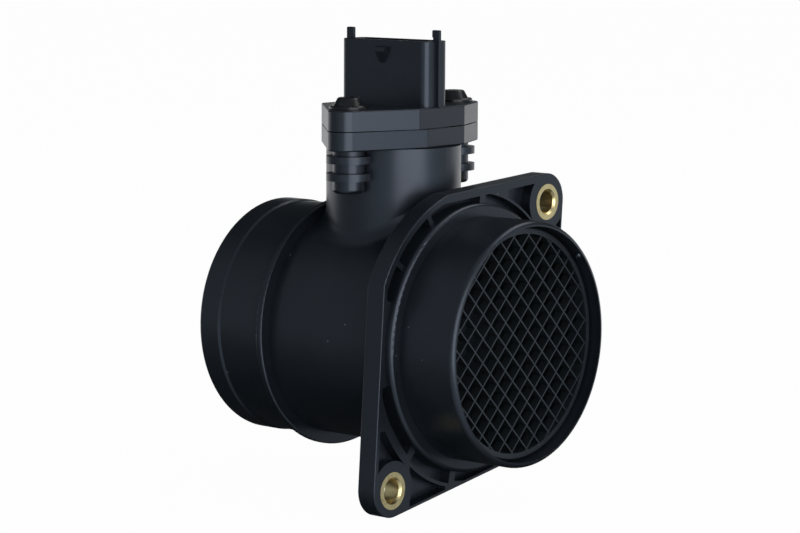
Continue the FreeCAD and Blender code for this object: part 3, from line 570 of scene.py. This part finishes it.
@dataclass(frozen=True)
class GridStake:
    """The melted plastic stake on the collar's inner wall that holds the grid in its seat."""

    material: bpy.types.Material
    wall_radius: float = 33.5 * MM
    station: float = 17.1 * MM
    angle: float = 43.5
    half_along: float = 1.15 * MM
    half_across: float = 1.35 * MM
    half_deep: float = 0.75 * MM
    sides: int = 20
    crown_share: float = 0.62
    rim_inset: float = 0.22
    dimple_inset: float = 0.12
    dimple_sink: Triple = (0.08, -0.05, 0.45)
    edge_round: float = 0.07

    def build(self) -> bpy.types.Object:
        """Model the stake as a low rivet with the dimple that the iron pressed into it.

        Returns:
            The finished piece.
        """
        work = bmesh.new()
        bmesh.ops.create_cone(work, cap_ends=True, segments=self.sides, radius1=self.crown_share,
                              radius2=1.0, depth=2.0)
        crown = min(work.faces, key=lambda face: face.calc_center_median().z)
        for inset in (self.rim_inset, self.dimple_inset):
            bmesh.ops.inset_region(work, faces=[crown], thickness=inset, use_even_offset=True)
        bmesh.ops.translate(work, verts=crown.verts, vec=self.dimple_sink)
        bmesh.ops.bevel(work, geom=list(work.edges), offset=self.edge_round, segments=2, affect="EDGES",
                        profile=0.5, material=-1)
        bmesh.ops.smooth_vert(work, verts=work.verts, factor=0.5, use_axis_x=True, use_axis_y=True,
                              use_axis_z=True)
        bmesh.ops.scale(work, verts=work.verts, vec=(self.half_along, self.half_across, self.half_deep))
        turn = Matrix.Rotation(math.radians(self.angle - 90.0), 3, "X")
        bmesh.ops.rotate(work, verts=work.verts, cent=(0, 0, 0), matrix=turn)
        outward = turn @ Vector((0, 0, 1))
        spot = Vector((self.station, 0, 0)) + outward * self.wall_radius
        bmesh.ops.translate(work, verts=work.verts, vec=spot)
        sheet = bpy.data.meshes.new("grid_stake")
        work.to_mesh(sheet)
        work.free()
        sheet.shade_smooth()
        sheet.materials.append(self.material)
        stake = bpy.data.objects.new("grid_stake", sheet)
        bpy.context.scene.collection.objects.link(stake)
        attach(stake, "root")
        log.info("piece %s built, %d faces", stake.name, len(sheet.polygons))
        return stake


@dataclass(frozen=True)
class Glow:
    """A pale patch of the room, bounded by its bearing on the plan and by its height.

    Attributes:
        bearing: The patch's bearing, as a unit vector on the plan.
        turn: How far toward the bearing a direction points where the patch starts and where it is full.
        middle: The height of the patch's middle, as the sine of its angle above the horizon.
        spread: The distance from that height where the patch starts to fade and where it ends.
        level: The patch's brightness.
    """

    bearing: Pair
    turn: Pair
    middle: float
    spread: Pair
    level: float = 1.0

    def mask(self, way: Wire) -> Wire:
        """Give the patch's brightness for a direction.

        Args:
            way: The direction, as a unit vector.

        Returns:
            The brightness, zero outside the patch.
        """
        height = (part_of(way, 2) - self.middle).size()
        turned = toward(way, self.bearing).ramp(*self.turn)
        return turned * (1.0 - height.ramp(*self.spread)) * self.level


@dataclass(frozen=True)
class Dusk:
    """A dark patch of the room, bounded by its bearing on the plan and by its height.

    Attributes:
        bearing: The patch's bearing, as a unit vector on the plan.
        turn: How far toward the bearing a direction points where the patch starts and where it is full.
        climb: The height from the horizon where the patch starts and where it is full.
        depth: The share of the light that the full patch takes away.
        upward: One for a patch above the horizon and minus one for a patch below it.
    """

    bearing: Pair
    turn: Pair
    climb: Pair
    depth: float
    upward: float = 1.0

    def mask(self, way: Wire) -> Wire:
        """Give how much light the patch takes away for a direction.

        Args:
            way: The direction, as a unit vector.

        Returns:
            The share of the light that is taken away.
        """
        height = part_of(way, 2) * self.upward
        return toward(way, self.bearing).ramp(*self.turn) * height.ramp(*self.climb) * self.depth


@dataclass(frozen=True)
class SoftBox:
    """A rectangular lamp that faces the object.

    Attributes:
        name: The lamp's name.
        place: Where it hangs.
        size: Its width and height.
        power: Its power in watts.
        target: The point that it faces.
    """

    name: str
    place: Triple
    size: Pair
    power: float
    target: Triple = (-0.02, 0.0, 0.01)

    def hang(self) -> None:
        """Hang the lamp."""
        data = bpy.data.lights.new(self.name, "AREA")
        data.shape = "RECTANGLE"
        data.size, data.size_y = self.size
        data.energy = self.power
        lamp = bpy.data.objects.new(self.name, data)
        aim = (Vector(self.target) - Vector(self.place)).to_track_quat("-Z", "Y")
        lamp.matrix_world = Matrix.Translation(self.place) @ aim.to_matrix().to_4x4()
        bpy.context.scene.collection.objects.link(lamp)
        log.info("lamp %s hung", self.name)


def part_of(way: Wire, axis: int) -> Wire:
    """Give one coordinate of a direction."""
    return way.net.node("ShaderNodeSeparateXYZ", {}, {0: way}, axis)


def toward(way: Wire, bearing: Pair) -> Wire:
    """Give how far a direction points along a bearing on the plan, from minus one to one."""
    return part_of(way, 0) * bearing[0] + part_of(way, 1) * bearing[1]


@dataclass
class Studio:
    """The pale floor, the soft lamps and the camera at the photograph's place."""

    eye: Triple = (0.4743, -0.6015, 0.1214)
    back: Triple = (0.6365, -0.7602, 0.1306)
    up: Triple = (-0.0877, 0.0970, 0.9914)
    lens: float = 122.14
    film_width: float = 36.0
    clip: Pair = (0.01, 50.0)
    floor_height: float = -0.0478
    floor_half: float = 6.0
    paper: Colour = tint(0.90, 0.90, 0.90)
    paper_roughness: float = 0.9
    paper_gloss: float = 0.1
    paper_white: float = 0.98
    room_glow: float = 0.32
    room_tint: Colour = tint(0.82, 0.93, 1.0)
    table: Glow = Glow((0.866, -0.5), (0.1, 0.8), -0.35, (0.25, 0.65), 0.45)
    wall: Glow = Glow((0.767, 0.642), (0.3, 0.8), 0.0, (0.2, 0.6), 0.25)
    backdrop: Glow = Glow(AHEAD, (0.25, 0.60), -0.07, (0.10, 0.24))
    shade: Dusk = Dusk(AHEAD, (-0.45, 0.15), (0.10, 0.35), 0.94, -1.0)
    gloom: Dusk = Dusk(AHEAD, (0.0, 0.45), (0.04, 0.28), 0.88)
    boxes: tuple[SoftBox, ...] = (
        SoftBox("front_box", (1.18, -0.46, 0.14), (1.30, 1.05), 10.5),
        SoftBox("high_box", (0.35, 0.72, 1.05), (1.30, 0.50), 4.0),
    )

    def camera(self) -> None:
        """Set the camera."""
        data = bpy.data.cameras.new("portrait")
        data.lens = self.lens
        data.sensor_width = self.film_width
        data.clip_start, data.clip_end = self.clip
        back, up = Vector(self.back).normalized(), Vector(self.up)
        right = up.cross(back).normalized()
        up = back.cross(right)
        turn = Matrix((right, up, back)).transposed().to_4x4()
        camera = bpy.data.objects.new("portrait", data)
        camera.matrix_world = Matrix.Translation(self.eye) @ turn
        bpy.context.scene.collection.objects.link(camera)
        bpy.context.scene.camera = camera

    def floor(self) -> None:
        """Lay the pale floor under the lowest ear."""
        sheet = bpy.data.meshes.new("floor")
        work = bmesh.new()
        bmesh.ops.create_grid(work, x_segments=1, y_segments=1, size=self.floor_half)
        bmesh.ops.translate(work, verts=work.verts, vec=(0, 0, self.floor_height))
        work.to_mesh(sheet)
        work.free()
        floor = bpy.data.objects.new("floor", sheet)
        bpy.context.scene.collection.objects.link(floor)
        sheet.materials.append(self._paper())

    def _paper(self) -> bpy.types.Material:
        """Make the floor's white paper: white to the camera but for a soft shadow. Reflections look
        past it to the room, whose lower half is dim.

        Returns:
            The finished material.
        """
        shader = Shader("studio_paper")
        shader.surface_is(Base_Color=self.paper, Roughness=self.paper_roughness,
                          Specular_IOR_Level=self.paper_gloss)
        white = shader.node("ShaderNodeEmission", {}, {"Color": tint(1, 1, 1), "Strength": 1.0})
        past = shader.node("ShaderNodeBsdfTransparent")
        camera = shader.node("ShaderNodeLightPath", output="Is Camera Ray")
        glossy = shader.node("ShaderNodeLightPath", output="Is Glossy Ray")
        seen = shader.layer(glossy, Wire(shader, shader.surface.outputs[0]), past)
        shader.show(shader.layer(camera * self.paper_white, seen, white), "OUTPUT_MATERIAL")
        return shader.material

    def world(self) -> None:
        """Set a white backdrop low behind the object, a lit table before it and a dim room round it."""
        world = bpy.data.worlds.new("studio")
        world.use_nodes = True
        bpy.context.scene.world = world
        net = Network(world.node_tree)
        net.tree.nodes.clear()
        net.tree.nodes.new("ShaderNodeOutputWorld")
        way = net.node("ShaderNodeTexCoord", output="Generated")
        pale = self.table.mask(way) + self.wall.mask(way) + self.room_glow
        level = pale * (1.0 - self.shade.mask(way)) * (1.0 - self.gloom.mask(way))
        camera = net.node("ShaderNodeLightPath", output="Is Camera Ray")
        dark = net.node("ShaderNodeBackground", {}, {"Color": tint(0, 0, 0), "Strength": 0.0})
        room = net.node("ShaderNodeBackground", {}, {"Color": self.room_tint, "Strength": 1.0})
        white = net.node("ShaderNodeBackground", {}, {"Color": tint(1, 1, 1), "Strength": 1.0})
        surround = net.layer(level, dark, room)
        net.show(net.layer(camera.greater(self.backdrop.mask(way)), surround, white), "OUTPUT_WORLD")

    def build(self) -> None:
        """Set up the whole studio."""
        self.camera()
        self.floor()
        self.world()
        for box in self.boxes:
            box.hang()


def main() -> None:
    """Build the studio and dress the sensor."""
    logging.basicConfig(level=logging.INFO, format="%(name)s: %(message)s")
    bpy.context.scene.view_settings.view_transform = "Standard"
    Studio().build()
    finishes = Finishes()
    Frame(finishes).dress()
    GridStake(finishes.moulding).build()


if __name__ == "__main__":
    main()
